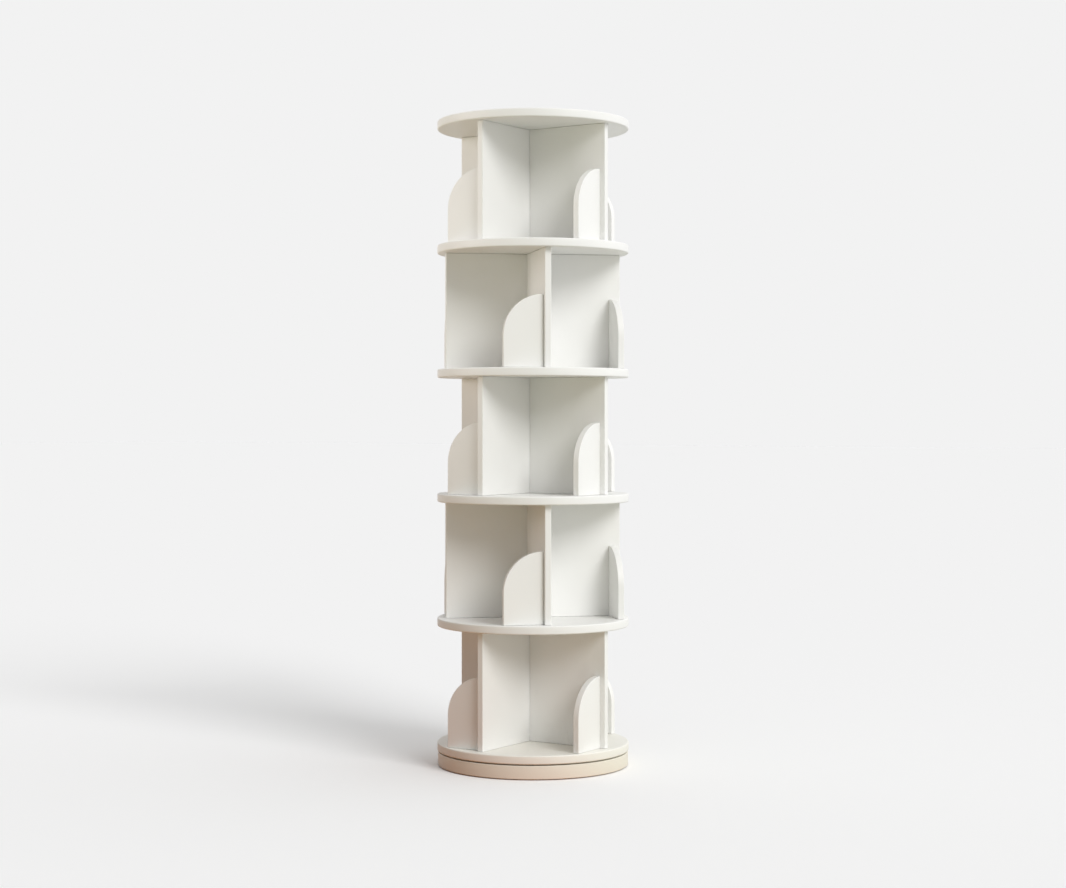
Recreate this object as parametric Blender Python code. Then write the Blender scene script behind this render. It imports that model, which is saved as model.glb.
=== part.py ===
"""Revolving bookcase: five tiers of upright panels between round discs, on a turntable bearing.

Metres, +Z up. The origin is on the turning axis, where the foot pads meet the floor. In each tier
four panels stand as a pinwheel round the axis, and each panel has a low quarter-arch baffle near
the rim. Every second tier is turned half a panel step. Glued dowels, made in one with their panel
or baffle, hold the boards together. Everything above the running gap turns with the inner ring of
the bearing; the base disc, the outer ring and the foot pads stand still.
"""

import math

import bmesh
import bpy
from mathutils import Matrix

# Counts
TIER_COUNT = 5
PANELS_PER_TIER = 4
FOOT_COUNT = 4
BALL_COUNT = 10
RING_SCREW_COUNT = 3
DISC_BOLT_COUNT = 3

# Gaps between neighbouring pieces, and how far a cut runs out of what it cuts
SEAT_GAP = 0.0003
RUNNING_GAP = 0.0003
TURN_GAP = 0.0032
CUT_OVERRUN = 0.002

# Round discs
DISC_RADIUS = 0.250
DISC_THICKNESS = 0.022
DISC_RIM_ROUND = 0.005

# Fixed base disc and its foot pads
BASE_RIM_INSET = 0.0015
BASE_THICKNESS = 0.034
BASE_RIM_ROUND = 0.003
FOOT_RADIUS = 0.014
FOOT_THICKNESS = 0.0017
FOOT_CIRCLE_SHARE = 0.84

# Upright panels, all alike
PANEL_HEIGHT = 0.301
PANEL_THICKNESS = 0.016
PANEL_RIM_INSET = 0.020
BOARD_EDGE_ROUND = 0.0015

# Quarter-arch baffles, all alike
BAFFLE_THICKNESS = 0.016
BAFFLE_WIDTH = 0.103
BAFFLE_STRAIGHT_HEIGHT = 0.081
BAFFLE_SET_BACK = 0.014

# Dowels: two in each end of a panel, two in the edge of a baffle
DOWEL_RADIUS = 0.004
DOWEL_ROOT = 0.004
PANEL_DOWEL_REACH = 0.010
PANEL_DOWEL_SHARES = (0.26, 0.78)
BAFFLE_DOWEL_REACH = 0.008
BAFFLE_DOWEL_SHARES = (0.20, 0.75)

# Turntable bearing: two rings with facing V grooves, and balls held by a cage band
BALL_RADIUS = 0.0025
BALL_CIRCLE_RADIUS = 0.066
RACE_GAP = 0.0022
RING_HEIGHT = 0.008
RING_WIDTH = 0.013
RING_AIR = 0.001
CAGE_THICKNESS = 0.0014
CAGE_HEIGHT = 0.007
POCKET_AIR = 0.0005

# Countersunk screws of the outer ring and bolts of the inner ring
HEAD_SINK = 0.0005
RING_SCREW_RADIUS = 0.0018
RING_SCREW_HEAD_RADIUS = 0.0034
RING_SCREW_HEAD_DEPTH = 0.002
RING_SCREW_BITE = 0.012
DISC_BOLT_RADIUS = 0.002
DISC_BOLT_HEAD_RADIUS = 0.004
DISC_BOLT_HEAD_DEPTH = 0.0026
DISC_BOLT_BITE = 0.0055
DISC_BOLT_FIRST_ANGLE = math.radians(7)

# Facets
DISC_SEGMENTS = 48
RIM_STEPS = 2
BEARING_SEGMENTS = 48
BAFFLE_ARC_STEPS = 8
DOWEL_SEGMENTS = 6
FASTENER_SEGMENTS = 12
PAD_SEGMENTS = 16
BALL_STEPS = 2
SHARP_ANGLE = math.radians(30)

# Worked out from the sizes above
PANEL_STEP = math.tau / PANELS_PER_TIER
PANEL_LENGTH = DISC_RADIUS - PANEL_RIM_INSET
BAFFLE_HEIGHT = BAFFLE_STRAIGHT_HEIGHT + BAFFLE_WIDTH
TIER_HEIGHT = PANEL_HEIGHT + 2 * SEAT_GAP
TIER_PITCH = TIER_HEIGHT + DISC_THICKNESS
BASE_RADIUS = DISC_RADIUS - BASE_RIM_INSET
BASE_BOTTOM = FOOT_THICKNESS + SEAT_GAP
BASE_TOP = BASE_BOTTOM + BASE_THICKNESS
BOTTOM_DISC_UNDERSIDE = BASE_TOP + TURN_GAP
GROOVE_REACH = math.sqrt(2) * (BALL_RADIUS + RUNNING_GAP)
POCKET_FLOOR = BOTTOM_DISC_UNDERSIDE - RING_AIR - RING_HEIGHT - SEAT_GAP
BALL_HEIGHT = (POCKET_FLOOR + BOTTOM_DISC_UNDERSIDE) / 2
OUTER_RING_INNER_RADIUS = BALL_CIRCLE_RADIUS + RACE_GAP / 2
OUTER_RING_OUTER_RADIUS = OUTER_RING_INNER_RADIUS + RING_WIDTH
INNER_RING_OUTER_RADIUS = BALL_CIRCLE_RADIUS - RACE_GAP / 2
INNER_RING_INNER_RADIUS = INNER_RING_OUTER_RADIUS - RING_WIDTH
POCKET_RADIUS = OUTER_RING_OUTER_RADIUS + POCKET_AIR
RING_SCREW_CIRCLE = (BALL_CIRCLE_RADIUS + GROOVE_REACH + OUTER_RING_OUTER_RADIUS) / 2
DISC_BOLT_CIRCLE = (BALL_CIRCLE_RADIUS - GROOVE_REACH + INNER_RING_INNER_RADIUS) / 2
RING_SCREW_LENGTH = RING_HEIGHT - HEAD_SINK + SEAT_GAP + RING_SCREW_BITE
DISC_BOLT_LENGTH = DISC_THICKNESS - HEAD_SINK + SEAT_GAP + DISC_BOLT_BITE
FOOT_CIRCLE_RADIUS = FOOT_CIRCLE_SHARE * BASE_RADIUS

# Finishes: colour, roughness, metallic
PAINT = ((0.86, 0.84, 0.80, 1.0), 0.45, 0.0)
ZINC = ((0.62, 0.63, 0.65, 1.0), 0.35, 1.0)
STEEL = ((0.50, 0.50, 0.52, 1.0), 0.28, 1.0)
PAD_RUBBER = ((0.08, 0.08, 0.08, 1.0), 0.85, 0.0)


def turn_z(angle):
    return Matrix.Rotation(angle, 4, "Z")


def raised(height):
    return Matrix.Translation((0, 0, height))


def clear_scene():
    for obj in list(bpy.context.scene.objects):
        bpy.data.objects.remove(obj, do_unlink=True)


# Shapes

def turned(profile, segments, is_ring=False):
    """A solid of revolution about Z. A ring's profile closes on itself; the others get flat caps."""
    shape = bmesh.new()
    points = [shape.verts.new((radius, 0, height)) for radius, height in profile]
    ends = points[1:] + points[:1] if is_ring else points[1:]
    lines = [shape.edges.new(pair) for pair in zip(points, ends)]
    bmesh.ops.spin(shape, geom=points + lines, cent=(0, 0, 0), axis=(0, 0, 1),
                   angle=math.tau, steps=segments, use_merge=True)
    if not is_ring:
        bmesh.ops.holes_fill(shape, edges=[edge for edge in shape.edges if edge.is_boundary])
    bmesh.ops.recalc_face_normals(shape, faces=shape.faces)
    return shape


def peg(radius, low, high):
    """A plain round pin or hole along Z."""
    return turned([(radius, low), (radius, high)], DOWEL_SEGMENTS)


def disc_profile(radius, thickness, rim_round):
    """Half the section of a round board whose two rim edges are rounded, from bottom to top."""
    corner = radius - rim_round
    quarter = [math.pi / 2 * step / RIM_STEPS for step in range(RIM_STEPS + 1)]
    low = [(corner + rim_round * math.sin(angle), rim_round * (1 - math.cos(angle)))
           for angle in quarter]
    high = [(across, thickness - height) for across, height in reversed(low)]
    return low + high


def fastener(length, radius, head_radius, head_depth):
    """A countersunk screw or bolt that points down, with the top of its head at the origin."""
    profile = [(radius, -length), (radius, -head_depth), (head_radius, 0)]
    return turned(profile, FASTENER_SEGMENTS)


def fastener_hole(length, radius, head_radius, head_depth):
    """The clearance hole of a fastener whose sunk head leaves a short straight mouth above it."""
    narrow = radius + SEAT_GAP
    wide = head_radius + SEAT_GAP
    profile = [(narrow, -length - SEAT_GAP), (narrow, -head_depth), (wide, 0), (wide, CUT_OVERRUN)]
    return turned(profile, FASTENER_SEGMENTS)


def block(low, high):
    shape = bmesh.new()
    bmesh.ops.create_cube(shape, size=1)
    for point in shape.verts:
        point.co = [high[axis] if point.co[axis] > 0 else low[axis] for axis in range(3)]
    return shape


def ball(radius):
    shape = bmesh.new()
    bmesh.ops.create_icosphere(shape, subdivisions=BALL_STEPS, radius=radius)
    return shape


def copies(blank, places):
    """One bmesh with a copy of the blank at each place. It uses the blank up."""
    group = bmesh.new()
    pattern = bpy.data.meshes.new("pattern")
    blank.to_mesh(pattern)
    blank.free()
    for place in places:
        copy = pattern.copy()
        copy.transform(place)
        group.from_mesh(copy)
        bpy.data.meshes.remove(copy)
    bpy.data.meshes.remove(pattern)
    return group


def together(*shapes):
    """One bmesh with all the shapes. It uses them up."""
    group = bmesh.new()
    for shape in shapes:
        mesh = bpy.data.meshes.new("shape")
        shape.to_mesh(mesh)
        shape.free()
        group.from_mesh(mesh)
        bpy.data.meshes.remove(mesh)
    return group


# Objects

def mesh_of(name, shape):
    mesh = bpy.data.meshes.new(name)
    shape.to_mesh(mesh)
    shape.free()
    mesh.shade_smooth()
    mesh.set_sharp_from_angle(angle=SHARP_ANGLE)
    return mesh


def linked(name, data, parent=None):
    obj = bpy.data.objects.new(name, data)
    bpy.context.collection.objects.link(obj)
    obj.parent = parent
    return obj


def material_of(name, finish):
    colour, roughness, metallic = finish
    material = bpy.data.materials.new(name)
    material.use_nodes = True
    shader = material.node_tree.nodes["Principled BSDF"]
    shader.inputs["Base Color"].default_value = colour
    shader.inputs["Roughness"].default_value = roughness
    shader.inputs["Metallic"].default_value = metallic
    return material


def piece(name, mesh, finish, parent, place=None):
    """One named piece of the bookcase, with a material of its own. Its place is in its parent."""
    if not mesh.materials:
        mesh.materials.append(None)
    obj = linked(name, mesh, parent)
    obj.material_slots[0].link = "OBJECT"
    obj.material_slots[0].material = material_of(name, finish)
    if place:
        obj.matrix_basis = place


def shaped_mesh(name, blank, edge_round=0, added=None, cut=None):
    """The mesh of a blank with its edges rounded, then a shape added, then another cut away."""
    body = linked(name, mesh_of(name, blank))
    helpers = []
    if edge_round:
        rounding = body.modifiers.new("edges", "BEVEL")
        rounding.width = edge_round
        rounding.segments = 1
        rounding.limit_method = "ANGLE"
        rounding.angle_limit = SHARP_ANGLE
    for operation, shape in (("UNION", added), ("DIFFERENCE", cut)):
        if shape:
            helper = linked(f"{name}_{operation.lower()}", mesh_of(name, shape))
            helpers.append(helper)
            boolean = body.modifiers.new(operation.lower(), "BOOLEAN")
            boolean.operation = operation
            boolean.solver = "EXACT"
            boolean.object = helper
    graph = bpy.context.evaluated_depsgraph_get()
    mesh = bpy.data.meshes.new_from_object(body.evaluated_get(graph), depsgraph=graph)
    for obj in (body, *helpers):
        spent = obj.data
        bpy.data.objects.remove(obj)
        bpy.data.meshes.remove(spent)
    mesh.name = name
    return mesh


# Places. A tier's frame has its origin on the axis, on the face that the tier stands on, and its
# X axis along the first panel.

def tier_floor(tier):
    """Height of the face that a tier stands on. Tier 1 is at the top."""
    return BOTTOM_DISC_UNDERSIDE + DISC_THICKNESS + (TIER_COUNT - tier) * TIER_PITCH


def tier_turn(tier):
    """Every second tier is turned half a panel step."""
    return 0 if tier % 2 else PANEL_STEP / 2


def tier_place(tier, index=0):
    """A tier's frame, turned on to the panel of this index."""
    return raised(tier_floor(tier)) @ turn_z(tier_turn(tier) - PANEL_STEP * index)


def panel_dowel_places():
    """Where the dowels of the first panel cross the tier's floor."""
    return [Matrix.Translation((share * PANEL_LENGTH, -PANEL_THICKNESS / 2, 0))
            for share in PANEL_DOWEL_SHARES]


def tier_dowel_places(turn=0):
    """Where the dowels of all the panels of a tier cross its floor."""
    return [turn_z(turn - PANEL_STEP * index) @ place
            for index in range(PANELS_PER_TIER) for place in panel_dowel_places()]


def baffle_dowel_places():
    """Where the baffle's dowels enter the face of the first panel, with Z along the dowel."""
    across = PANEL_LENGTH - BAFFLE_SET_BACK - BAFFLE_THICKNESS / 2
    along_y = Matrix.Rotation(-math.pi / 2, 4, "X")
    return [Matrix.Translation((across, -PANEL_THICKNESS, share * BAFFLE_HEIGHT)) @ along_y
            for share in BAFFLE_DOWEL_SHARES]


def places_on_circle(count, radius, height, first_angle=0):
    return [turn_z(first_angle + math.tau * index / count) @ Matrix.Translation((radius, 0, height))
            for index in range(count)]


# Boards

def panel_mesh():
    """The first panel of a tier, in the tier's frame, with its four dowels."""
    low = SEAT_GAP
    high = SEAT_GAP + PANEL_HEIGHT
    blank = block((SEAT_GAP, -PANEL_THICKNESS, low), (PANEL_LENGTH, 0, high))
    lower = peg(DOWEL_RADIUS, low - PANEL_DOWEL_REACH, low + DOWEL_ROOT)
    upper = peg(DOWEL_RADIUS, high - DOWEL_ROOT, high + PANEL_DOWEL_REACH)
    dowels = together(copies(lower, panel_dowel_places()), copies(upper, panel_dowel_places()))
    hole = peg(DOWEL_RADIUS + SEAT_GAP, -CUT_OVERRUN, BAFFLE_DOWEL_REACH)
    return shaped_mesh("panel", blank, BOARD_EDGE_ROUND, dowels, copies(hole, baffle_dowel_places()))


def baffle_outline():
    """Along-face and height points of the arch, high beside the panel and straight at the rim."""
    near = -PANEL_THICKNESS - SEAT_GAP
    outline = [(near, SEAT_GAP), (near - BAFFLE_WIDTH, SEAT_GAP)]
    for step in range(BAFFLE_ARC_STEPS + 1):
        angle = math.pi / 2 * step / BAFFLE_ARC_STEPS
        outline.append((near - BAFFLE_WIDTH * math.cos(angle),
                        SEAT_GAP + BAFFLE_STRAIGHT_HEIGHT + BAFFLE_WIDTH * math.sin(angle)))
    return outline


def baffle_mesh():
    """The baffle of the first panel, in the tier's frame, with its two dowels."""
    outer = PANEL_LENGTH - BAFFLE_SET_BACK
    blank = bmesh.new()
    face = blank.faces.new([blank.verts.new((outer, *point)) for point in baffle_outline()])
    swept = bmesh.ops.extrude_face_region(blank, geom=[face])
    moved = [item for item in swept["geom"] if isinstance(item, bmesh.types.BMVert)]
    bmesh.ops.translate(blank, verts=moved, vec=(-BAFFLE_THICKNESS, 0, 0))
    bmesh.ops.recalc_face_normals(blank, faces=blank.faces)
    dowel = peg(DOWEL_RADIUS, -SEAT_GAP - DOWEL_ROOT, BAFFLE_DOWEL_REACH - SEAT_GAP)
    return shaped_mesh("baffle", blank, BOARD_EDGE_ROUND, copies(dowel, baffle_dowel_places()))


def plain_disc():
    """A disc with its top face at zero."""
    disc = turned(disc_profile(DISC_RADIUS, DISC_THICKNESS, DISC_RIM_ROUND), DISC_SEGMENTS)
    bmesh.ops.translate(disc, verts=disc.verts, vec=(0, 0, -DISC_THICKNESS))
    return disc


def upper_dowel_holes():
    """Holes in the top face of a disc, for the tier that stands on it."""
    hole = peg(DOWEL_RADIUS + SEAT_GAP, -PANEL_DOWEL_REACH, CUT_OVERRUN)
    return copies(hole, tier_dowel_places())


def lower_dowel_holes(turn):
    """Holes in the underside of a disc, for the tier below, which is turned against the disc."""
    hole = peg(DOWEL_RADIUS + SEAT_GAP, -DISC_THICKNESS - CUT_OVERRUN,
               PANEL_DOWEL_REACH - DISC_THICKNESS)
    return copies(hole, tier_dowel_places(turn))


def top_disc_mesh():
    return shaped_mesh("top_disc", plain_disc(), cut=lower_dowel_holes(0))


def shelf_disc_mesh():
    holes = together(upper_dowel_holes(), lower_dowel_holes(PANEL_STEP / 2))
    return shaped_mesh("shelf_disc", plain_disc(), cut=holes)


def bottom_disc_mesh():
    bolt_hole = fastener_hole(DISC_BOLT_LENGTH, DISC_BOLT_RADIUS, DISC_BOLT_HEAD_RADIUS,
                              DISC_BOLT_HEAD_DEPTH)
    holes = together(upper_dowel_holes(), copies(bolt_hole, disc_bolt_places(-HEAD_SINK)))
    return shaped_mesh("bottom_disc", plain_disc(), cut=holes)


def base_disc_mesh():
    """The fixed base, with the pocket that the bearing lies in and the holes of its screws."""
    blank = turned(disc_profile(BASE_RADIUS, BASE_THICKNESS, BASE_RIM_ROUND), DISC_SEGMENTS)
    bmesh.ops.translate(blank, verts=blank.verts, vec=(0, 0, BASE_BOTTOM))
    pocket = turned([(POCKET_RADIUS, POCKET_FLOOR), (POCKET_RADIUS, BASE_TOP + CUT_OVERRUN)],
                    BEARING_SEGMENTS)
    hole = turned([(RING_SCREW_RADIUS + SEAT_GAP, -RING_SCREW_LENGTH - SEAT_GAP),
                   (RING_SCREW_RADIUS + SEAT_GAP, CUT_OVERRUN - RING_HEIGHT)], FASTENER_SEGMENTS)
    milled = bmesh.new()
    milled.from_mesh(shaped_mesh("milled_base", blank, cut=pocket))
    return shaped_mesh("base_disc", milled, cut=copies(hole, ring_screw_places()))


# Turntable bearing

def disc_bolt_places(head_height):
    return places_on_circle(DISC_BOLT_COUNT, DISC_BOLT_CIRCLE, head_height, DISC_BOLT_FIRST_ANGLE)


def ring_screw_places():
    head_height = POCKET_FLOOR + SEAT_GAP + RING_HEIGHT - HEAD_SINK
    return places_on_circle(RING_SCREW_COUNT, RING_SCREW_CIRCLE, head_height)


def ring_profile(face_radius, back_radius, low, side):
    """A square ring with a V groove in the face that looks at the balls; side is 1 or -1."""
    high = low + RING_HEIGHT
    reach = GROOVE_REACH - RACE_GAP / 2
    return [(back_radius, low), (face_radius, low), (face_radius, BALL_HEIGHT - reach),
            (BALL_CIRCLE_RADIUS + side * GROOVE_REACH, BALL_HEIGHT),
            (face_radius, BALL_HEIGHT + reach), (face_radius, high), (back_radius, high)]


def outer_ring_mesh():
    profile = ring_profile(OUTER_RING_INNER_RADIUS, OUTER_RING_OUTER_RADIUS,
                           POCKET_FLOOR + SEAT_GAP, 1)
    hole = fastener_hole(RING_SCREW_LENGTH, RING_SCREW_RADIUS, RING_SCREW_HEAD_RADIUS,
                         RING_SCREW_HEAD_DEPTH)
    return shaped_mesh("outer_ring", turned(profile, BEARING_SEGMENTS, is_ring=True),
                       cut=copies(hole, ring_screw_places()))


def inner_ring_mesh():
    profile = ring_profile(INNER_RING_OUTER_RADIUS, INNER_RING_INNER_RADIUS,
                           BOTTOM_DISC_UNDERSIDE - SEAT_GAP - RING_HEIGHT, -1)
    hole = turned([(DISC_BOLT_RADIUS + SEAT_GAP, -DISC_BOLT_LENGTH - SEAT_GAP),
                   (DISC_BOLT_RADIUS + SEAT_GAP, CUT_OVERRUN - DISC_THICKNESS)], FASTENER_SEGMENTS)
    head_height = tier_floor(TIER_COUNT) - HEAD_SINK
    return shaped_mesh("inner_ring", turned(profile, BEARING_SEGMENTS, is_ring=True),
                       cut=copies(hole, disc_bolt_places(head_height)))


def caged_balls_mesh():
    """A thin band between the rings, with the balls that it carries made in one with it."""
    near = BALL_CIRCLE_RADIUS - CAGE_THICKNESS / 2
    far = BALL_CIRCLE_RADIUS + CAGE_THICKNESS / 2
    low = BALL_HEIGHT - CAGE_HEIGHT / 2
    high = BALL_HEIGHT + CAGE_HEIGHT / 2
    band = turned([(near, low), (far, low), (far, high), (near, high)], BEARING_SEGMENTS,
                  is_ring=True)
    facet = math.tau / BEARING_SEGMENTS
    places = places_on_circle(BALL_COUNT, BALL_CIRCLE_RADIUS, BALL_HEIGHT, facet / 2)
    balls = copies(ball(BALL_RADIUS), places)
    return shaped_mesh("caged_balls", band, added=balls)


# Assembly

def build_row(name, mesh, finish, parent, places):
    """Like pieces, numbered from 1, which share a mesh."""
    for number, place in enumerate(places, start=1):
        piece(f"{name}_{number}", mesh, finish, parent, place)


def build_base(parent):
    piece("base_disc", base_disc_mesh(), PAINT, parent)
    piece("bearing_outer_ring", outer_ring_mesh(), ZINC, parent)
    pad = turned([(FOOT_RADIUS, 0), (FOOT_RADIUS, FOOT_THICKNESS)], PAD_SEGMENTS)
    build_row("foot_pad", mesh_of("foot_pad", pad), PAD_RUBBER, parent,
              places_on_circle(FOOT_COUNT, FOOT_CIRCLE_RADIUS, 0))
    screw = fastener(RING_SCREW_LENGTH, RING_SCREW_RADIUS, RING_SCREW_HEAD_RADIUS,
                     RING_SCREW_HEAD_DEPTH)
    build_row("ring_screw", mesh_of("ring_screw", screw), STEEL, parent, ring_screw_places())


def build_ball_row(parent):
    piece("caged_balls", caged_balls_mesh(), STEEL, parent)


def build_discs(parent):
    piece("top_disc", top_disc_mesh(), PAINT, parent, raised(TIER_PITCH) @ tier_place(1))
    shelf_places = [tier_place(tier) for tier in range(1, TIER_COUNT)]
    build_row("shelf_disc", shelf_disc_mesh(), PAINT, parent, shelf_places)
    piece("bottom_disc", bottom_disc_mesh(), PAINT, parent, tier_place(TIER_COUNT))


def build_tiers(parent):
    panel = panel_mesh()
    baffle = baffle_mesh()
    for tier in range(1, TIER_COUNT + 1):
        places = [tier_place(tier, index) for index in range(PANELS_PER_TIER)]
        build_row(f"tier_{tier}_panel", panel, PAINT, parent, places)
        build_row(f"tier_{tier}_baffle", baffle, PAINT, parent, places)


def build_inner_ring(parent):
    piece("bearing_inner_ring", inner_ring_mesh(), ZINC, parent)
    bolt = fastener(DISC_BOLT_LENGTH, DISC_BOLT_RADIUS, DISC_BOLT_HEAD_RADIUS, DISC_BOLT_HEAD_DEPTH)
    build_row("disc_bolt", mesh_of("disc_bolt", bolt), STEEL, parent,
              disc_bolt_places(tier_floor(TIER_COUNT) - HEAD_SINK))


def build():
    clear_scene()
    build_base(linked("base_frame", None))
    build_ball_row(linked("ball_row_axis", None))
    carousel = linked("carousel_axis", None)
    build_discs(carousel)
    build_tiers(carousel)
    build_inner_ring(carousel)


build()
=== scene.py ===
"""Looks of the revolving bookcase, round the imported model: satin warm-white boards with softly
rounded edges, the bearing in the running gap, and a pale studio with its key light on the right.
Metres, +Z up. A view of azimuth zero looks along +Y, and azimuths grow towards +X."""

import math
from collections import namedtuple

import bmesh
import bpy
from mathutils import Matrix, Vector


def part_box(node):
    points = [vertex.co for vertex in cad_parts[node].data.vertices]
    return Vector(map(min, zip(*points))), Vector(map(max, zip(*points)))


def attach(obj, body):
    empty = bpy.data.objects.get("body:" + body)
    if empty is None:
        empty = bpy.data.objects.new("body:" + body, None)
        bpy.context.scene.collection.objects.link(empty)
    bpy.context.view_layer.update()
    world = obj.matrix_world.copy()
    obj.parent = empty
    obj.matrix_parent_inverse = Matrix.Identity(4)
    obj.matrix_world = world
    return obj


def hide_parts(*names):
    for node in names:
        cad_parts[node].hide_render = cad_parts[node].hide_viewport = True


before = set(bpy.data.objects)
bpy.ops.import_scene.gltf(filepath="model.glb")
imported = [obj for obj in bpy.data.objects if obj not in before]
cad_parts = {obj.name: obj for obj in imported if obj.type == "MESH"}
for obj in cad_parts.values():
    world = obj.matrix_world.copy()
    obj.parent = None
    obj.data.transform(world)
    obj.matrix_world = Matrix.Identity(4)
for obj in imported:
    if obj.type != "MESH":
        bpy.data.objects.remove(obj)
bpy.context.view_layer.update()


def count(prefix):
    """How many CAD nodes have a name that starts so."""
    return sum(node.startswith(prefix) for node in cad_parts)


# Camera: level, with the little shift that the photograph's framing needs
PHOTO_WIDTH_PX = 1066
SENSOR_WIDTH_MM = 36
FOCAL_PX = 2006
SHIFT_PX = -23
CAMERA_AZIMUTH = math.radians(33.5)
CAMERA_DISTANCE = 5.252
CAMERA_HEIGHT = 0.897

# Light. White shows KEY_LEVEL where it is square to the key, and FILL_LEVEL where it is square to
# the fill at the height FILL_AIM on the axis.
KEY_AZIMUTH = CAMERA_AZIMUTH + math.radians(37)
KEY_ELEVATION = math.radians(33)
KEY_LEVEL = 0.495
KEY_SOFTNESS = math.radians(28)
FILL_AZIMUTH = CAMERA_AZIMUTH - math.radians(83)
FILL_DISTANCE = 1.8
FILL_HEIGHT = 1.62
FILL_SIZE = 1.6
FILL_SPREAD = math.radians(56)
FILL_AIM = 1.47
FILL_LEVEL = 1.13
FILL_COLOUR = (1.0, 0.93, 0.92)
SKY_AZIMUTH = CAMERA_AZIMUTH + math.radians(111)
SKY_LOW_BRIGHT = (1.11, 1.11, 1.11)
SKY_LOW_SHADE = (0.050, 0.040, 0.032)
SKY_HIGH = (0.79, 0.79, 0.79)
SKY_STEEPNESS = 3.5

# Floor and backdrop: how they look, and the light that the floor throws back up. The two ends and
# the centre lie this far to the right of the axis as the camera sees it, and the radii start at that
# centre.
BACKDROP_LEVEL = 0.888
FLOOR_SIZE = 120
BOUNCE_LEFT = (0.45, 0.44, 0.265)
BOUNCE_RIGHT = (0.81, 0.81, 0.81)
BOUNCE_NEAR = (0.50, 0.19, 0.05)
BOUNCE_LEFT_END = -0.27
BOUNCE_RIGHT_END = 1.84
NEAR_CENTRE = -0.81
NEAR_INNER_RADIUS = 0.89
NEAR_OUTER_RADIUS = 1.13

# Sizes and counts of the CAD that its boxes don't give
SEAT_GAP = 0.0003
RUNNING_GAP = 0.0003
BOARD_EDGE_ROUND = 0.0015
BAFFLE_STRAIGHT_HEIGHT = 0.081
POCKET_AIR = 0.0005
RING_WIDTH = 0.013
BALL_RADIUS = 0.0025
CAGE_THICKNESS = 0.0014
BALL_COUNT = 10
TIER_COUNT = count("shelf_disc_") + 1
PANELS_PER_TIER = count("tier_1_panel_")
PANEL_STEP = math.tau / PANELS_PER_TIER

# Countersunk fasteners, with the tapered tips that the CAD leaves out
Fastener = namedtuple("Fastener", "radius head_radius head_depth tip")
FASTENERS = {
    "ring_screw": Fastener(radius=0.0018, head_radius=0.0034, head_depth=0.002, tip=0.004),
    "disc_bolt": Fastener(radius=0.002, head_radius=0.004, head_depth=0.0026, tip=0.0006),
}

# Small forms that the CAD leaves out or makes coarser
DISC_RIM_ROUND = 0.0035
BASE_RIM_ROUND = 0.002
FLAT_MARGIN = 0.001
RING_CHAMFER = 0.0005
FINE_CHAMFER = 0.0002
TIP_RADIUS_SHARE = 0.5
SOCKET_SIDES = 6
SOCKET_RADIUS_SHARE = 0.5
SOCKET_DEPTH_SHARE = 0.7
FOOT_EDGE_ROUND = 0.0008

# Fineness, and what the making of shapes needs
CUT_OVERRUN = 0.002
MERGE_DISTANCE = 1e-6
DISC_SEGMENTS = 240
ROUND_STEPS = 8
EDGE_STEPS = 4
ARC_STEPS = 40
BEARING_SEGMENTS = 160
SMALL_SEGMENTS = 48
BALL_RINGS = 24
SHARP_ANGLE = math.radians(30)

# Paint. Scales are per metre, here and in the other finishes.
PAINT_TONES = ((0.862, 0.864, 0.848), (0.845, 0.842, 0.820))
# The bottom disc's tones are warmer, and the base's warmer and darker: painted warm bounce light and
# shade from the floor near the column.
BOTTOM_TONES_WITH_PAINTED_WARM_BOUNCE = ((0.868, 0.858, 0.800), (0.851, 0.836, 0.772))
BASE_TONES_WITH_PAINTED_WARM_SHADE = ((0.818, 0.784, 0.690), (0.801, 0.764, 0.665))
PATTERN_SPREAD = 7
CLOUD_SCALE = 5
CLOUD_DETAIL = 3
SHEEN_SCALE = 60
PAINT_ROUGHNESS = (0.40, 0.52)
STIPPLE_SCALE = 900
STIPPLE_STRENGTH = 0.12
STIPPLE_HEIGHT = 0.0002

# Metal: its colour, the darkest tone as a share of it, and its roughness
ZINC_FINISH = ((0.74, 0.75, 0.77), 0.82, 0.34)
BALL_FINISH = ((0.66, 0.66, 0.67), 0.92, 0.16)
FASTENER_FINISH = ((0.60, 0.60, 0.61), 0.85, 0.30)
BLOTCH_SCALE = 160
BLOTCH_DETAIL = 4
TURNING_SCALE = 900
TURNING_WAVINESS = 1.5
TURNING_STRENGTH = 0.1
TURNING_HEIGHT = 0.0001
TURNING_ROUGHNESS_SHARES = (0.8, 1.3)

# Rubber
RUBBER_TONES = (0.045, 0.085)
RUBBER_ROUGHNESS = 0.85
GRAIN_SCALE = 1400
GRAIN_STRENGTH = 0.4
GRAIN_HEIGHT = 0.0002


# Materials

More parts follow.
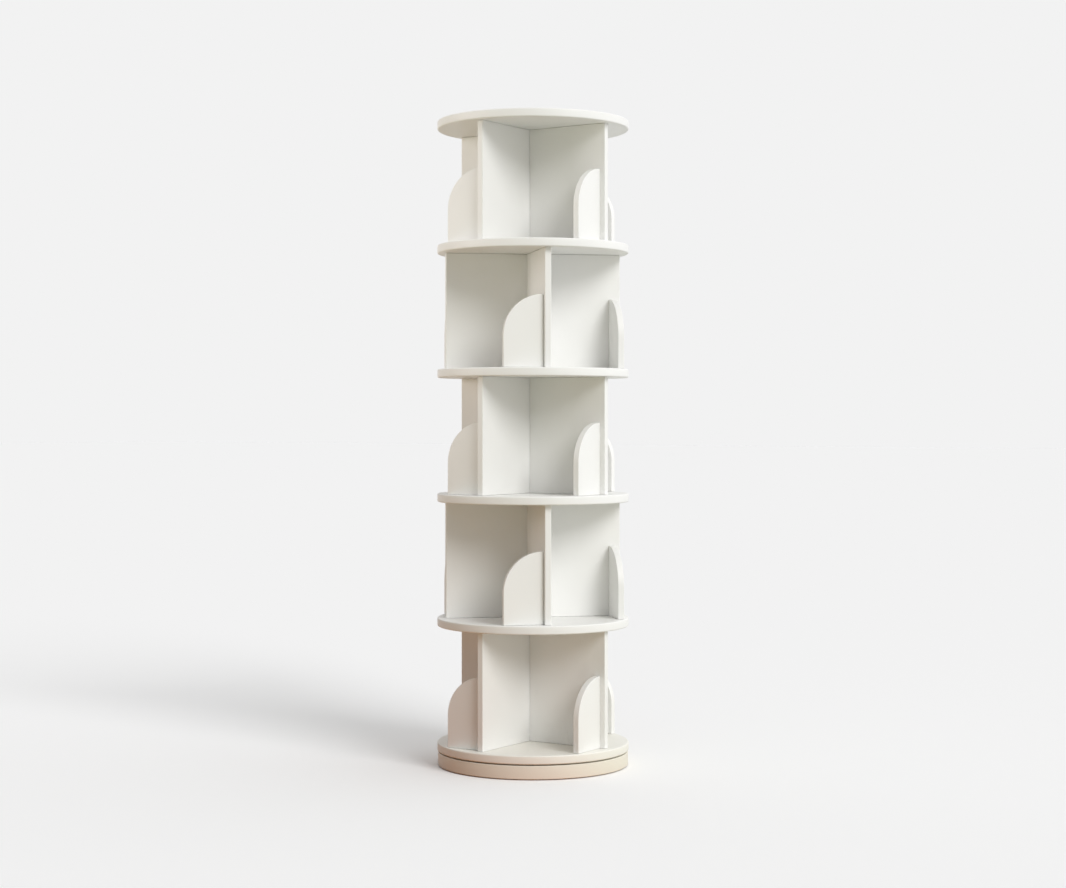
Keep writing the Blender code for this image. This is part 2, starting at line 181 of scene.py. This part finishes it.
class Shading:
    """Short calls for the node tree of a material or of the world. They give sockets back."""

    def __init__(self, tree):
        self.tree = tree

    def feed(self, socket, value):
        """Links a socket to another one, or sets it. A colour is given without its alpha."""
        if isinstance(value, bpy.types.NodeSocket):
            self.tree.links.new(value, socket)
        elif socket.type == "RGBA":
            socket.default_value = (*value, 1)
        else:
            socket.default_value = value

    def add(self, kind, output, *values, **named):
        """An output of a new node. The values go to its first inputs, and the named ones to the
        setting or the input of that name, with _ for a space."""
        node = self.tree.nodes.new(kind)
        for socket, value in zip(node.inputs, values):
            self.feed(socket, value)
        for key, value in named.items():
            if hasattr(node, key):
                setattr(node, key, value)
            else:
                self.feed(node.inputs[key.replace("_", " ")], value)
        return node.outputs[output]

    def maths(self, operation, first, second):
        return self.add("ShaderNodeMath", "Value", first, second, operation=operation)

    def along(self, vector, way):
        """How far a vector reaches along a direction."""
        return self.add("ShaderNodeVectorMath", "Value", vector, way, operation="DOT_PRODUCT")

    def distance(self, place, centre):
        return self.add("ShaderNodeVectorMath", "Value", place, centre, operation="DISTANCE")

    def ramp(self, value, low, high, form="SMOOTHSTEP"):
        """0 where the value is low, 1 where it is high."""
        return self.add("ShaderNodeMapRange", "Result", value, low, high, interpolation_type=form)

    def between(self, share, low, high):
        """A number that is low where the share is 0 and high where it is 1."""
        return self.add("ShaderNodeMapRange", "Result", share, To_Min=low, To_Max=high)

    def mix(self, share, first, second):
        """The first colour where the share is 0, the second where it is 1."""
        node = self.tree.nodes.new("ShaderNodeMix")
        node.data_type = "RGBA"
        # Several sockets of this node share a name, so they are told apart by their places.
        factor, colours, result = node.inputs[0], node.inputs[6:8], node.outputs[2]
        for socket, value in zip((factor, *colours), (share, first, second)):
            self.feed(socket, value)
        return result

    def relief(self, height, strength, depth):
        """A normal that follows a fine relief of this depth, in metres."""
        return self.add("ShaderNodeBump", "Normal", Height=height, Strength=strength, Distance=depth)

    def seen_directly(self):
        """1 where a ray comes straight from the camera or off something glossy, else 0."""
        path = self.tree.nodes.new("ShaderNodeLightPath").outputs
        shiny = self.maths("MAXIMUM", path["Is Glossy Ray"], path["Is Transmission Ray"])
        return self.maths("MAXIMUM", path["Is Camera Ray"], shiny)


def new_material(name):
    """A new material, the calls for its nodes, and the inputs of its shader."""
    material = bpy.data.materials.new(name)
    material.use_nodes = True
    shader = material.node_tree.nodes["Principled BSDF"]
    return material, Shading(material.node_tree), shader.inputs


def painted_board(name, tones):
    """Satin paint on fibreboard: faint clouding, a roller's fine stipple, and an uneven sheen.

    Each piece has a part of the pattern of its own, so that no two boards match."""
    material, shading, shader = new_material(name)
    own_share = shading.add("ShaderNodeObjectInfo", "Random")
    place = shading.add("ShaderNodeVectorMath", "Vector",
                        shading.add("ShaderNodeTexCoord", "Object"),
                        shading.maths("MULTIPLY", own_share, PATTERN_SPREAD), operation="ADD")
    clouds = shading.add("ShaderNodeTexNoise", "Fac", Vector=place, Scale=CLOUD_SCALE,
                         Detail=CLOUD_DETAIL)
    shading.feed(shader["Base Color"], shading.mix(clouds, *tones))
    sheen = shading.add("ShaderNodeTexNoise", "Fac", Vector=place, Scale=SHEEN_SCALE)
    shading.feed(shader["Roughness"], shading.between(sheen, *PAINT_ROUGHNESS))
    stipple = shading.add("ShaderNodeTexNoise", "Fac", Vector=place, Scale=STIPPLE_SCALE)
    shading.feed(shader["Normal"], shading.relief(stipple, STIPPLE_STRENGTH, STIPPLE_HEIGHT))
    return material


def turned_metal(name, colour, darkest_share, roughness):
    """Plated or ground steel with faint blotches, and fine marks round the turning axis."""
    material, shading, shader = new_material(name)
    place = shading.add("ShaderNodeTexCoord", "Object")
    blotches = shading.add("ShaderNodeTexNoise", "Fac", Vector=place, Scale=BLOTCH_SCALE,
                           Detail=BLOTCH_DETAIL)
    tone = shading.add("ShaderNodeVectorMath", "Vector", colour, operation="SCALE",
                       Scale=shading.between(blotches, darkest_share, 1))
    shading.feed(shader["Base Color"], tone)
    shading.feed(shader["Metallic"], 1)
    marks = shading.add("ShaderNodeTexWave", "Fac", Vector=place, Scale=TURNING_SCALE,
                        Distortion=TURNING_WAVINESS, wave_type="RINGS", rings_direction="Z")
    smoothest, roughest = (roughness * share for share in TURNING_ROUGHNESS_SHARES)
    shading.feed(shader["Roughness"], shading.between(marks, smoothest, roughest))
    shading.feed(shader["Normal"], shading.relief(marks, TURNING_STRENGTH, TURNING_HEIGHT))
    return material


def pad_rubber():
    """Matt black rubber with a fine grain."""
    material, shading, shader = new_material("pad_rubber")
    place = shading.add("ShaderNodeTexCoord", "Object")
    grain = shading.add("ShaderNodeTexVoronoi", "Distance", Vector=place, Scale=GRAIN_SCALE)
    shading.feed(shader["Base Color"], shading.between(grain, *RUBBER_TONES))
    shading.feed(shader["Roughness"], RUBBER_ROUGHNESS)
    shading.feed(shader["Normal"], shading.relief(grain, GRAIN_STRENGTH, GRAIN_HEIGHT))
    return material


PAINT = painted_board("painted_board", PAINT_TONES)
# The bottom disc's and the base's materials carry painted warm bounce light and shade.
BOTTOM_PAINT_WITH_PAINTED_WARM_BOUNCE = painted_board("bottom_disc_paint_with_painted_warm_bounce", BOTTOM_TONES_WITH_PAINTED_WARM_BOUNCE)
BASE_PAINT_WITH_PAINTED_WARM_SHADE = painted_board("base_paint_with_painted_warm_shade", BASE_TONES_WITH_PAINTED_WARM_SHADE)
ZINC = turned_metal("zinc_plated_ring", *ZINC_FINISH)
BALL_STEEL = turned_metal("bearing_steel", *BALL_FINISH)
FASTENER_STEEL = turned_metal("fastener_steel", *FASTENER_FINISH)
RUBBER = pad_rubber()


# Shapes

def turned(profile, segments):
    """A solid of revolution about Z. A profile that starts on the axis also ends there, and any
    other one closes on itself."""
    shape = bmesh.new()
    points = [shape.verts.new((radius, 0, height)) for radius, height in profile]
    on_axis = profile[0][0] == 0
    ends = points[1:] if on_axis else points[1:] + points[:1]
    lines = [shape.edges.new(pair) for pair in zip(points, ends)]
    bmesh.ops.spin(shape, geom=points + lines, cent=(0, 0, 0), axis=(0, 0, 1),
                   angle=math.tau, steps=segments, use_merge=True)
    bmesh.ops.remove_doubles(shape, verts=shape.verts, dist=MERGE_DISTANCE)
    bmesh.ops.recalc_face_normals(shape, faces=shape.faces)
    return shape


def quarter():
    return [math.pi / 2 * step / ROUND_STEPS for step in range(ROUND_STEPS + 1)]


def lower_round(radius, height, rounding):
    """The rounded lower edge of a turned piece, going up."""
    return [(radius - rounding + rounding * math.sin(angle),
             height + rounding * (1 - math.cos(angle))) for angle in quarter()]


def upper_round(radius, height, rounding):
    """The rounded upper edge of a turned piece, going up."""
    return [(radius - rounding + rounding * math.cos(angle),
             height - rounding * (1 - math.sin(angle))) for angle in quarter()]


def rim_profile(radius, low, high, rounding):
    """A rim with both edges rounded, and a narrow ring of the flat face on either side of it."""
    flat = radius - rounding - FLAT_MARGIN
    return [(flat, low), *lower_round(radius, low, rounding),
            *upper_round(radius, high, rounding), (flat, high)]


def mesh_of(name, shape):
    mesh = bpy.data.meshes.new(name)
    shape.to_mesh(mesh)
    shape.free()
    mesh.shade_smooth()
    mesh.set_sharp_from_angle(angle=SHARP_ANGLE)
    return mesh


def copies(shape, places):
    """One bmesh with a copy of the shape at each place. It uses the shape up."""
    group = bmesh.new()
    pattern = mesh_of("pattern", shape)
    for place in places:
        copy = pattern.copy()
        copy.transform(place)
        group.from_mesh(copy)
        bpy.data.meshes.remove(copy)
    bpy.data.meshes.remove(pattern)
    return group


def applied(name, mesh, kind, **settings):
    """The mesh that a modifier makes of another, which it uses up."""
    body = bpy.data.objects.new(name, mesh)
    bpy.context.collection.objects.link(body)
    modifier = body.modifiers.new(kind, kind)
    for key, value in settings.items():
        setattr(modifier, key, value)
    graph = bpy.context.evaluated_depsgraph_get()
    result = bpy.data.meshes.new_from_object(body.evaluated_get(graph), depsgraph=graph)
    bpy.data.objects.remove(body)
    bpy.data.meshes.remove(mesh)
    result.name = name
    return result


def softened(name, shape, width):
    """The mesh of a shape whose sharp edges are rounded, and whose flat faces stay flat in the light."""
    return applied(name, mesh_of(name, shape), "BEVEL", width=width, segments=EDGE_STEPS,
                   limit_method="ANGLE", angle_limit=SHARP_ANGLE, harden_normals=True)


def bored(name, shape, cutters):
    """The mesh of a shape with other closed shapes cut out of it."""
    drill = bpy.data.objects.new("drill", mesh_of("drill", cutters))
    bpy.context.collection.objects.link(drill)
    mesh = applied(name, mesh_of(name, shape), "BOOLEAN", operation="DIFFERENCE", object=drill)
    spent = drill.data
    bpy.data.objects.remove(drill)
    bpy.data.meshes.remove(spent)
    mesh.set_sharp_from_angle(angle=SHARP_ANGLE)
    return mesh


def piece(name, mesh, material, body, node, place=None):
    """A shown piece of the bookcase. It rides on a body and stands for the CAD node given."""
    obj = bpy.data.objects.new(name, mesh)
    bpy.context.collection.objects.link(obj)
    if not mesh.materials:
        mesh.materials.append(material)
    if place:
        obj.matrix_world = place
    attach(obj, body)
    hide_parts(node)


def middle_of(node):
    low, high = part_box(node)
    return (low + high) / 2


# Boards

def disc_shape(node):
    """A round board with both rim edges rounded, from its CAD box, with its top face at zero."""
    low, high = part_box(node)
    depth = high.z - low.z
    profile = [(0, -depth), *rim_profile(high.x, -depth, 0, DISC_RIM_ROUND), (0, 0)]
    return turned(profile, DISC_SEGMENTS)


def bottom_disc_mesh():
    """The lowest turning board, with the countersunk holes in which its bolts show."""
    return bored("bottom_disc_board", disc_shape("bottom_disc"),
                 fastener_holes("disc_bolt", disc_top("bottom_disc")))


def base_mesh():
    """The fixed base with its rounded rim and the pocket that the bearing lies in."""
    low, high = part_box("base_disc")
    ring_low, ring_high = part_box("bearing_outer_ring")
    pocket_radius = ring_high.x + POCKET_AIR
    pocket_floor = ring_low.z - SEAT_GAP
    profile = [(0, low.z), *rim_profile(high.x, low.z, high.z, BASE_RIM_ROUND),
               (pocket_radius, high.z), (pocket_radius, pocket_floor), (0, pocket_floor)]
    return bored("base_board", turned(profile, DISC_SEGMENTS), fastener_holes("ring_screw"))


def panel_mesh(thickness, length, height):
    """The first panel of a tier, in the tier's frame."""
    shape = bmesh.new()
    bmesh.ops.create_cube(shape, size=1)
    low = Vector((SEAT_GAP, -thickness, SEAT_GAP))
    high = Vector((length, 0, height - SEAT_GAP))
    for point in shape.verts:
        point.co = [high[axis] if point.co[axis] > 0 else low[axis] for axis in range(3)]
    return softened("panel_board", shape, BOARD_EDGE_ROUND)


def baffle_mesh(panel_thickness, low_x, high_x, width):
    """The quarter-arch baffle of a tier's first panel, in the tier's frame."""
    near = -panel_thickness - SEAT_GAP
    outline = [(near, SEAT_GAP), (near - width, SEAT_GAP)]
    for step in range(ARC_STEPS + 1):
        angle = math.pi / 2 * step / ARC_STEPS
        outline.append((near - width * math.cos(angle),
                        SEAT_GAP + BAFFLE_STRAIGHT_HEIGHT + width * math.sin(angle)))
    shape = bmesh.new()
    face = shape.faces.new([shape.verts.new((high_x, *point)) for point in outline])
    swept = bmesh.ops.extrude_face_region(shape, geom=[face])
    moved = [item for item in swept["geom"] if isinstance(item, bmesh.types.BMVert)]
    bmesh.ops.translate(shape, verts=moved, vec=(low_x - high_x, 0, 0))
    bmesh.ops.recalc_face_normals(shape, faces=shape.faces)
    return softened("baffle_board", shape, BOARD_EDGE_ROUND)


def disc_top(node):
    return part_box(node)[1].z


def tier_floor(tier):
    """Height of the top face of the disc that a tier stands on. Tier 1 is at the top."""
    return disc_top("bottom_disc" if tier == TIER_COUNT else f"shelf_disc_{tier}")


def tier_place(tier, index):
    """A tier's frame, turned on to the panel of this index. Every second tier is turned further."""
    turn = (0 if tier % 2 else PANEL_STEP / 2) - PANEL_STEP * index
    return Matrix.Translation((0, 0, tier_floor(tier))) @ Matrix.Rotation(turn, 4, "Z")


def make_boards():
    """The discs, the fixed base, and the panels and baffles of all tiers."""
    plain = mesh_of("disc_board", disc_shape("top_disc"))
    discs = {"top_disc": plain, "bottom_disc": bottom_disc_mesh()}
    discs.update({f"shelf_disc_{tier}": plain for tier in range(1, TIER_COUNT)})
    for node, mesh in discs.items():
        # The bottom disc, and the base below, take tones with painted warm bounce light and shade.
        board_look = BOTTOM_PAINT_WITH_PAINTED_WARM_BOUNCE if node == "bottom_disc" else PAINT
        piece(f"{node}_board", mesh, board_look, "carousel", node,
              Matrix.Translation((0, 0, disc_top(node))))
    piece("base_board", base_mesh(), BASE_PAINT_WITH_PAINTED_WARM_SHADE, "base", "base_disc")
    panel_low, panel_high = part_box("tier_1_panel_1")
    baffle_low, baffle_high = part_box("tier_1_baffle_1")
    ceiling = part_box("top_disc")[0].z
    thickness = panel_high.y - panel_low.y
    panel = panel_mesh(thickness, panel_high.x, ceiling - tier_floor(1))
    width = -baffle_low.y - thickness - SEAT_GAP
    baffle = baffle_mesh(thickness, baffle_low.x, baffle_high.x, width)
    for tier in range(1, TIER_COUNT + 1):
        for index in range(PANELS_PER_TIER):
            for form, mesh in (("panel", panel), ("baffle", baffle)):
                node = f"tier_{tier}_{form}_{index + 1}"
                piece(f"{node}_board", mesh, PAINT, "carousel", node,
                      tier_place(tier, index))


# Fasteners

def fastener_places(name):
    """Where the heads of a set of like fasteners have their tops, on their axes."""
    places = []
    for number in range(1, count(f"{name}_") + 1):
        node = f"{name}_{number}"
        middle = middle_of(node)
        places.append(Matrix.Translation((middle.x, middle.y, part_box(node)[1].z)))
    return places


def fastener_length(name):
    low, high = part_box(f"{name}_1")
    return high.z - low.z


def fastener_holes(name, zero_height=0):
    """The clearance holes of a set of countersunk fasteners, each with a short straight mouth above
    its head, for a shape whose zero lies at this height."""
    size = FASTENERS[name]
    narrow = size.radius + SEAT_GAP
    wide = size.head_radius + SEAT_GAP
    bottom = -fastener_length(name) - SEAT_GAP
    profile = [(0, bottom), (narrow, bottom), (narrow, -size.head_depth), (wide, 0),
               (wide, CUT_OVERRUN), (0, CUT_OVERRUN)]
    lowering = Matrix.Translation((0, 0, -zero_height))
    return copies(turned(profile, SMALL_SEGMENTS),
                  [lowering @ place for place in fastener_places(name)])


def make_fasteners(name, body):
    """Countersunk fasteners with a hexagonal socket in the head and a tapered tip."""
    size = FASTENERS[name]
    length = fastener_length(name)
    profile = [(0, -length), (size.radius * TIP_RADIUS_SHARE, -length),
               (size.radius, -length + size.tip), (size.radius, -size.head_depth),
               (size.head_radius, -FINE_CHAMFER), (size.head_radius - FINE_CHAMFER, 0), (0, 0)]
    socket_radius = size.head_radius * SOCKET_RADIUS_SHARE
    socket = bmesh.new()
    bmesh.ops.create_cone(socket, cap_ends=True, segments=SOCKET_SIDES, radius1=socket_radius,
                          radius2=socket_radius, depth=2 * size.head_depth * SOCKET_DEPTH_SHARE)
    mesh = bored(f"{name}_steel", turned(profile, SMALL_SEGMENTS), socket)
    for number, place in enumerate(fastener_places(name), start=1):
        piece(f"{name}_{number}_steel", mesh, FASTENER_STEEL, body,
              f"{name}_{number}", place)


# Bearing and pads

def ball_circle():
    """The radius of the circle on which the balls run, halfway between the rings' faces."""
    outer_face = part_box("bearing_outer_ring")[1].x - RING_WIDTH
    return (outer_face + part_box("bearing_inner_ring")[1].x) / 2


def ball_places():
    turns = [Matrix.Rotation(math.tau * index / BALL_COUNT, 4, "Z") for index in range(BALL_COUNT)]
    centre = Matrix.Translation((ball_circle(), 0, middle_of("caged_balls").z))
    return [turn @ centre for turn in turns]


def ball(radius):
    shape = bmesh.new()
    bmesh.ops.create_uvsphere(shape, u_segments=SMALL_SEGMENTS, v_segments=BALL_RINGS,
                              radius=radius)
    return shape


def race_profile(face, back, low, high):
    """A ring's section with its corners cut, and a round groove in the face that the balls touch."""
    side = math.copysign(1, back - face)
    circle = ball_circle()
    groove = BALL_RADIUS + RUNNING_GAP
    half = math.acos(abs(face - circle) / groove)
    middle = middle_of("caged_balls").z
    profile = [(back, low + RING_CHAMFER), (back - side * RING_CHAMFER, low),
               (face + side * RING_CHAMFER, low), (face, low + RING_CHAMFER)]
    for step in range(ROUND_STEPS + 1):
        angle = half * (2 * step / ROUND_STEPS - 1)
        profile.append((circle + side * groove * math.cos(angle),
                        middle + groove * math.sin(angle)))
    profile += [(face, high - RING_CHAMFER), (face + side * RING_CHAMFER, high),
                (back - side * RING_CHAMFER, high), (back, high - RING_CHAMFER)]
    return profile


def make_rings():
    """The outer ring, which is screwed to the base, and the inner one, which turns."""
    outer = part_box("bearing_outer_ring")[1].x
    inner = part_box("bearing_inner_ring")[1].x
    for node, face, back, fastener, body in (
            ("bearing_outer_ring", outer - RING_WIDTH, outer, "ring_screw", "base"),
            ("bearing_inner_ring", inner, inner - RING_WIDTH, "disc_bolt", "carousel")):
        low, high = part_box(node)
        blank = turned(race_profile(face, back, low.z, high.z), BEARING_SEGMENTS)
        mesh = bored(f"{node}_steel", blank, fastener_holes(fastener))
        piece(f"{node}_steel", mesh, ZINC, body, node)


def make_balls():
    """The balls, and the thin band that spaces them, with a round window for each ball."""
    balls = mesh_of("bearing_balls_steel", copies(ball(BALL_RADIUS), ball_places()))
    piece("bearing_balls_steel", balls, BALL_STEEL, "ball_row", "caged_balls")
    low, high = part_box("caged_balls")
    near = ball_circle() - CAGE_THICKNESS / 2
    far = ball_circle() + CAGE_THICKNESS / 2
    profile = [(far, low.z + FINE_CHAMFER), (far - FINE_CHAMFER, low.z),
               (near + FINE_CHAMFER, low.z), (near, low.z + FINE_CHAMFER),
               (near, high.z - FINE_CHAMFER), (near + FINE_CHAMFER, high.z),
               (far - FINE_CHAMFER, high.z), (far, high.z - FINE_CHAMFER)]
    cage = bored("ball_cage_steel", turned(profile, BEARING_SEGMENTS),
                 copies(ball(BALL_RADIUS + RUNNING_GAP), ball_places()))
    piece("ball_cage_steel", cage, ZINC, "ball_row", "caged_balls")


def make_pads():
    """Round rubber pads with a rounded lower edge."""
    low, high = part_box("foot_pad_1")
    radius = (high.x - low.x) / 2
    profile = [(0, 0), *lower_round(radius, 0, FOOT_EDGE_ROUND), (radius, high.z), (0, high.z)]
    mesh = mesh_of("foot_pad_rubber", turned(profile, SMALL_SEGMENTS))
    for number in range(1, count("foot_pad_") + 1):
        node = f"foot_pad_{number}"
        middle = middle_of(node)
        piece(f"{node}_rubber", mesh, RUBBER, "base", node,
              Matrix.Translation((middle.x, middle.y, 0)))


# Studio

def direction(azimuth, elevation=0.0):
    """The direction from the object towards a viewer or lamp."""
    return Vector((math.sin(azimuth) * math.cos(elevation),
                   -math.cos(azimuth) * math.cos(elevation), math.sin(elevation)))


def facing(way):
    """The rotation that points a camera or a lamp this way."""
    return way.to_track_quat("-Z", "Y").to_euler()


def make_camera():
    camera = bpy.data.cameras.new("camera")
    camera.sensor_width = SENSOR_WIDTH_MM
    camera.lens = FOCAL_PX / PHOTO_WIDTH_PX * SENSOR_WIDTH_MM
    camera.shift_y = SHIFT_PX / PHOTO_WIDTH_PX
    viewer = bpy.data.objects.new("camera", camera)
    bpy.context.collection.objects.link(viewer)
    back = direction(CAMERA_AZIMUTH)
    viewer.location = back * CAMERA_DISTANCE + Vector((0, 0, CAMERA_HEIGHT))
    viewer.rotation_euler = facing(-back)
    bpy.context.scene.camera = viewer


def make_key_light():
    """The sun-like key, whose soft shadow falls to the left and behind."""
    lamp = bpy.data.lights.new("key", "SUN")
    lamp.energy = KEY_LEVEL * math.pi
    lamp.angle = KEY_SOFTNESS
    key = bpy.data.objects.new("key", lamp)
    bpy.context.collection.objects.link(key)
    key.rotation_euler = facing(-direction(KEY_AZIMUTH, KEY_ELEVATION))


def make_fill_light(floor):
    """A round softbox high on the left, near enough to fade towards the floor, which it spares."""
    place = direction(FILL_AZIMUTH) * FILL_DISTANCE + Vector((0, 0, FILL_HEIGHT))
    aim = Vector((0, 0, FILL_AIM)) - place
    lamp = bpy.data.lights.new("fill", "AREA")
    lamp.shape = "DISK"
    lamp.size = FILL_SIZE
    lamp.color = FILL_COLOUR
    lamp.spread = FILL_SPREAD
    # A lamp keeps its power when its spread narrows, so less power gives the same level at its aim.
    narrowed = 1 - FILL_SPREAD / 2 / math.tan(FILL_SPREAD / 2)
    lamp.energy = FILL_LEVEL * (math.pi * aim.length) ** 2 * narrowed
    fill = bpy.data.objects.new("fill", lamp)
    bpy.context.collection.objects.link(fill)
    fill.location = place
    fill.rotation_euler = facing(aim)
    spared = bpy.data.collections.new("spared_by_fill")
    spared.objects.link(floor)
    spared.collection_objects[0].light_linking.link_state = "EXCLUDE"
    fill.light_linking.receiver_collection = spared


def make_world():
    """Light from all round: even overhead, and low down bright on the right, a little behind the
    object, and dim on the left, a little in front. Seen directly, it is an even backdrop."""
    world = bpy.data.worlds.new("studio")
    bpy.context.scene.world = world
    world.use_nodes = True
    shading = Shading(world.node_tree)
    way = shading.add("ShaderNodeTexCoord", "Generated")
    side = shading.ramp(shading.along(way, direction(SKY_AZIMUTH)), -1, 1, "LINEAR")
    height = shading.ramp(shading.along(way, (0, 0, 1)), 0, 1, "LINEAR")
    overhead = shading.maths("POWER", height, SKY_STEEPNESS)
    sky = shading.mix(overhead, shading.mix(side, SKY_LOW_SHADE, SKY_LOW_BRIGHT), SKY_HIGH)
    shown = shading.mix(shading.seen_directly(), sky, (BACKDROP_LEVEL,) * 3)
    shading.feed(world.node_tree.nodes["Background"].inputs["Color"], shown)


def light_on_floor(channel):
    """What a white floor would show in the open: the key, and the sky's low and high light.

    Of the sky's light on a level face, 2 / (SKY_STEEPNESS + 2) is its high light."""
    low = (SKY_LOW_BRIGHT[channel] + SKY_LOW_SHADE[channel]) / 2
    high_share = 2 / (SKY_STEEPNESS + 2)
    sky = low * (1 - high_share) + SKY_HIGH[channel] * high_share
    return KEY_LEVEL * math.sin(KEY_ELEVATION) + sky


def make_floor():
    """A plain floor, as pale as the backdrop in the open.

    It throws back less light on the left, and warm light round a place to the column's left."""
    shape = bmesh.new()
    bmesh.ops.create_grid(shape, x_segments=1, y_segments=1, size=FLOOR_SIZE / 2)
    floor = bpy.data.objects.new("floor", mesh_of("floor", shape))
    bpy.context.collection.objects.link(floor)
    material, shading, shader = new_material("floor")
    shading.feed(shader["Roughness"], 1)
    shading.feed(shader["Specular IOR Level"], 0)
    place = shading.add("ShaderNodeNewGeometry", "Position")
    across = direction(CAMERA_AZIMUTH + math.pi / 2)
    side = shading.ramp(shading.along(place, across), BOUNCE_LEFT_END, BOUNCE_RIGHT_END)
    away = shading.ramp(shading.distance(place, across * NEAR_CENTRE),
                        NEAR_INNER_RADIUS, NEAR_OUTER_RADIUS)
    bounce = shading.mix(away, BOUNCE_NEAR, shading.mix(side, BOUNCE_LEFT, BOUNCE_RIGHT))
    white = tuple(BACKDROP_LEVEL / light_on_floor(channel) for channel in range(3))
    shown = shading.mix(shading.seen_directly(), bounce, white)
    shading.feed(shader["Base Color"], shown)
    floor.data.materials.append(material)
    return floor


make_boards()
make_rings()
make_balls()
make_fasteners("ring_screw", "base")
make_fasteners("disc_bolt", "carousel")
make_pads()
make_camera()
make_key_light()
make_world()
make_fill_light(make_floor())
bpy.context.scene.view_settings.view_transform = "Standard"
